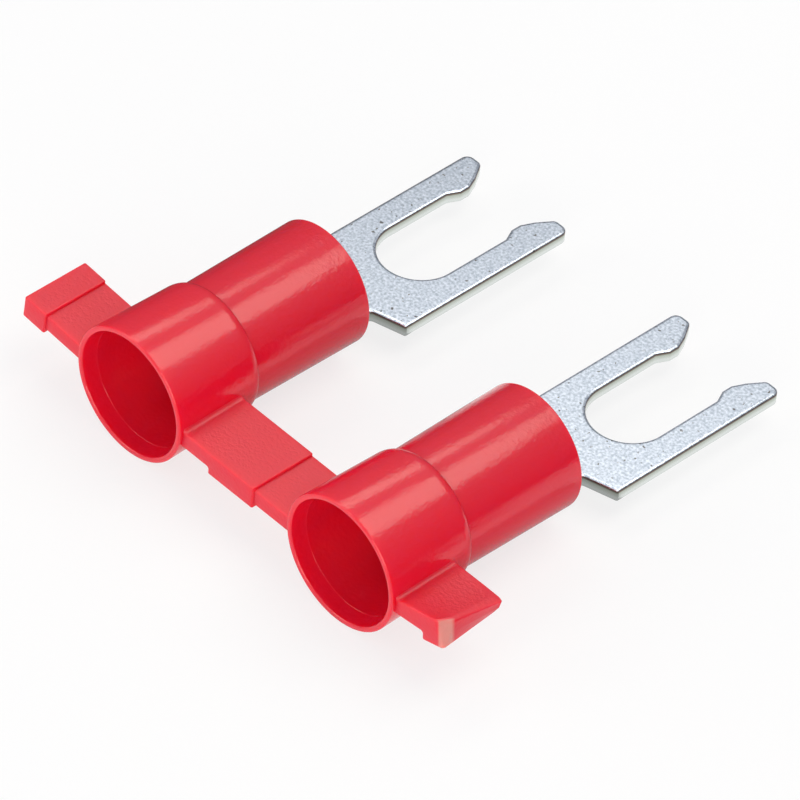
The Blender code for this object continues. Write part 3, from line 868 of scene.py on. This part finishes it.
# %% [markdown]
# The highlights on the sleeves tell where the lamps stood. On a cylinder along y, a band at the angle t
# round the barrel mirrors what lies at 2t less the angle of the view, here 53.75 degrees. A wide band at 65
# and a narrow one at 88 degrees give two softboxes overhead, a wide one and a slim one, both along the
# sleeves. Their bands start and end a little further round on the right sleeve, so the lamps were near. Two
# more stand on the camera's side, where the sleeves don't mirror them: one low on the right lights the
# mouths, and one on the left lights the sleeves' far sides and draws a pale line along the webs' front
# edges. The pale bands on the vinyl lean to yellow, so the lamps are a little warm and the world's weak light
# is a little cool.

# %% Softboxes
LIGHT_DISTANCE = 160
LAMP_COLOUR = (1.0, 0.98, 0.84)
# The low and high angle, the near and far end along y in light distances, and the radiance
SOFTBOXES = {
    "wide_softbox": (61, 93, -0.1, 0.9, 2.4),
    "slim_softbox": (115, 129, -0.1, 0.9, 2.4),
    "front_softbox": (5, 55, -2.4, -0.6, 3.3),
    "left_softbox": (125, 160, -2.4, -0.6, 2.7),
}


def softbox(name, low_angle, high_angle, near, far, radiance):
    """A rectangular lamp over the strip: between two angles round the sleeves' direction, from +x up."""
    middle = math.radians((low_angle + high_angle) / 2)
    distance = LIGHT_DISTANCE * MM
    width = 2 * distance * math.tan(math.radians(high_angle - low_angle) / 2)
    length = (far - near) * distance
    lamp = bpy.data.lights.new(name, "AREA")
    lamp.shape = "RECTANGLE"
    lamp.size, lamp.size_y = width, length
    lamp.energy = radiance * math.pi * width * length
    lamp.color = LAMP_COLOUR
    thing = bpy.data.objects.new(name, lamp)
    bpy.context.scene.collection.objects.link(thing)
    out = Vector((math.cos(middle), 0, math.sin(middle)))
    along = Vector((0, 1, 0))
    place = (out + along * (near + far) / 2) * distance
    facing = Matrix((along.cross(out), along, out)).transposed().to_4x4()
    thing.matrix_world = Matrix.Translation(place) @ facing
    print(name, "width", round(width / MM), "mm, length", round(length / MM), "mm")


for lamp_name, reach in SOFTBOXES.items():
    softbox(lamp_name, *reach)

# %% [markdown]
# Between the highlights the vinyl is deep and saturated, so it mirrors something dark. A ring of card close
# round the strip does that: nearly black at the table and light grey at its top edge. Two more cards lie on
# the table beside the strip. A grey one under the slim front of each sleeve is painted shade: it stands for
# the table's shadow under the sleeve where the sleeves mirror it. Only mirror rays see them, and the ring is
# open towards the camera.

# %% Dark and grey cards
CARD_RADIUS = 45
CARD_HEIGHT = 52
CARD_ANGLES = (-15, 215)
CARD_POINTS = 60
CARD_SHADES = (0.10, 0.75)
CARD_LIFT = 0.2
FLOOR_CARDS = [((-45, -10), (-12, 45)), ((22, -15), (45, 5))]
# Where the painted shade of the table lies under each sleeve, and how bright it is.
TABLE_SHADE_CARD = ((0.2, 5.0), (7.5, 14.0))
TABLE_SHADE_LEVEL = 0.45
card_turn = np.radians(np.linspace(*CARD_ANGLES, CARD_POINTS))
card_low = np.stack([CARD_RADIUS * np.cos(card_turn), CARD_RADIUS * np.sin(card_turn), 0 * card_turn], 1)
card_material = new_material("graded_card")
card_place = add(card_material, "ShaderNodeTexCoord").outputs["Object"]
height = add(card_material, "ShaderNodeSeparateXYZ", [(0, card_place)]).outputs["Z"]
grade = add(card_material, "ShaderNodeMapRange", [("Value", height)], From_Max=CARD_HEIGHT * MM,
            To_Min=CARD_SHADES[0], To_Max=CARD_SHADES[1])
shade = add(card_material, "ShaderNodeEmission", [("Strength", grade.outputs["Result"])], Color=WHITE)
add(card_material, "ShaderNodeOutputMaterial", [("Surface", shade.outputs[0])])
cards = [stage_piece("card_ring", np.concatenate([card_low, card_low + (0, 0, CARD_HEIGHT)]),
                     grid_faces(2, CARD_POINTS).tolist(), card_material)]
for low, high in FLOOR_CARDS:
    cards.append(stage_piece("floor_card", rectangle(low, high, CARD_LIFT), [(0, 1, 2, 3)], card_material))
# Painted shade: a grey card under each sleeve's front stands for the table's shadow in the sleeves'
# reflections.
table_shade_material = new_material("painted_table_shade")
table_shade_glow = add(table_shade_material, "ShaderNodeEmission", Color=WHITE, Strength=TABLE_SHADE_LEVEL)
add(table_shade_material, "ShaderNodeOutputMaterial", [("Surface", table_shade_glow.outputs[0])])
for side in SIDES:
    low, high = (np.array(corner) + AXES[side][:2] for corner in TABLE_SHADE_CARD)
    corners = rectangle(low, high, CARD_LIFT)
    cards.append(stage_piece("painted_table_shade_" + side, corners, [(0, 1, 2, 3)], table_shade_material))
for card in cards:
    card.visible_camera = False
    card.visible_diffuse = False
    card.visible_shadow = False
    card.visible_transmission = False
print("cards:", [card.name for card in cards])

# %% [markdown]
# The camera was found from the photograph by fitting the outlines of both sleeves and forks. It looks down
# from the right front with a long lens, so parallel edges stay nearly parallel.

# %% Camera
CAMERA_AZIMUTH = 43.75
CAMERA_ELEVATION = 43.32
CAMERA_ROLL = 4.79
CAMERA_DISTANCE = 401.4
AIM_FROM_LEFT_MOUTH = (7.731, 8.304, 0.399)
CAMERA_LENS = 432.2
SENSOR_WIDTH = 36.0
CLIP_START = 10
azimuth, elevation = math.radians(CAMERA_AZIMUTH), math.radians(CAMERA_ELEVATION)
back = Vector((math.sin(azimuth) * math.cos(elevation), -math.cos(azimuth) * math.cos(elevation),
               math.sin(elevation)))
camera = bpy.data.objects.new("camera", bpy.data.cameras.new("camera"))
bpy.context.scene.collection.objects.link(camera)
camera.data.lens = CAMERA_LENS
camera.data.sensor_width = SENSOR_WIDTH
camera.data.clip_start = CLIP_START * MM
upright = back.to_track_quat("Z", "Y").to_matrix()
roll_turn = Matrix.Rotation(math.radians(CAMERA_ROLL), 3, "Z")
camera_aim = Vector((AXES["left"] + AIM_FROM_LEFT_MOUTH) * MM)
camera_place = camera_aim + back * CAMERA_DISTANCE * MM
camera.matrix_world = Matrix.Translation(camera_place) @ (upright @ roll_turn).to_4x4()
bpy.context.scene.camera = camera
bpy.context.scene.view_settings.view_transform = "Standard"
print("camera at", [round(value / MM, 1) for value in camera_place], "mm")
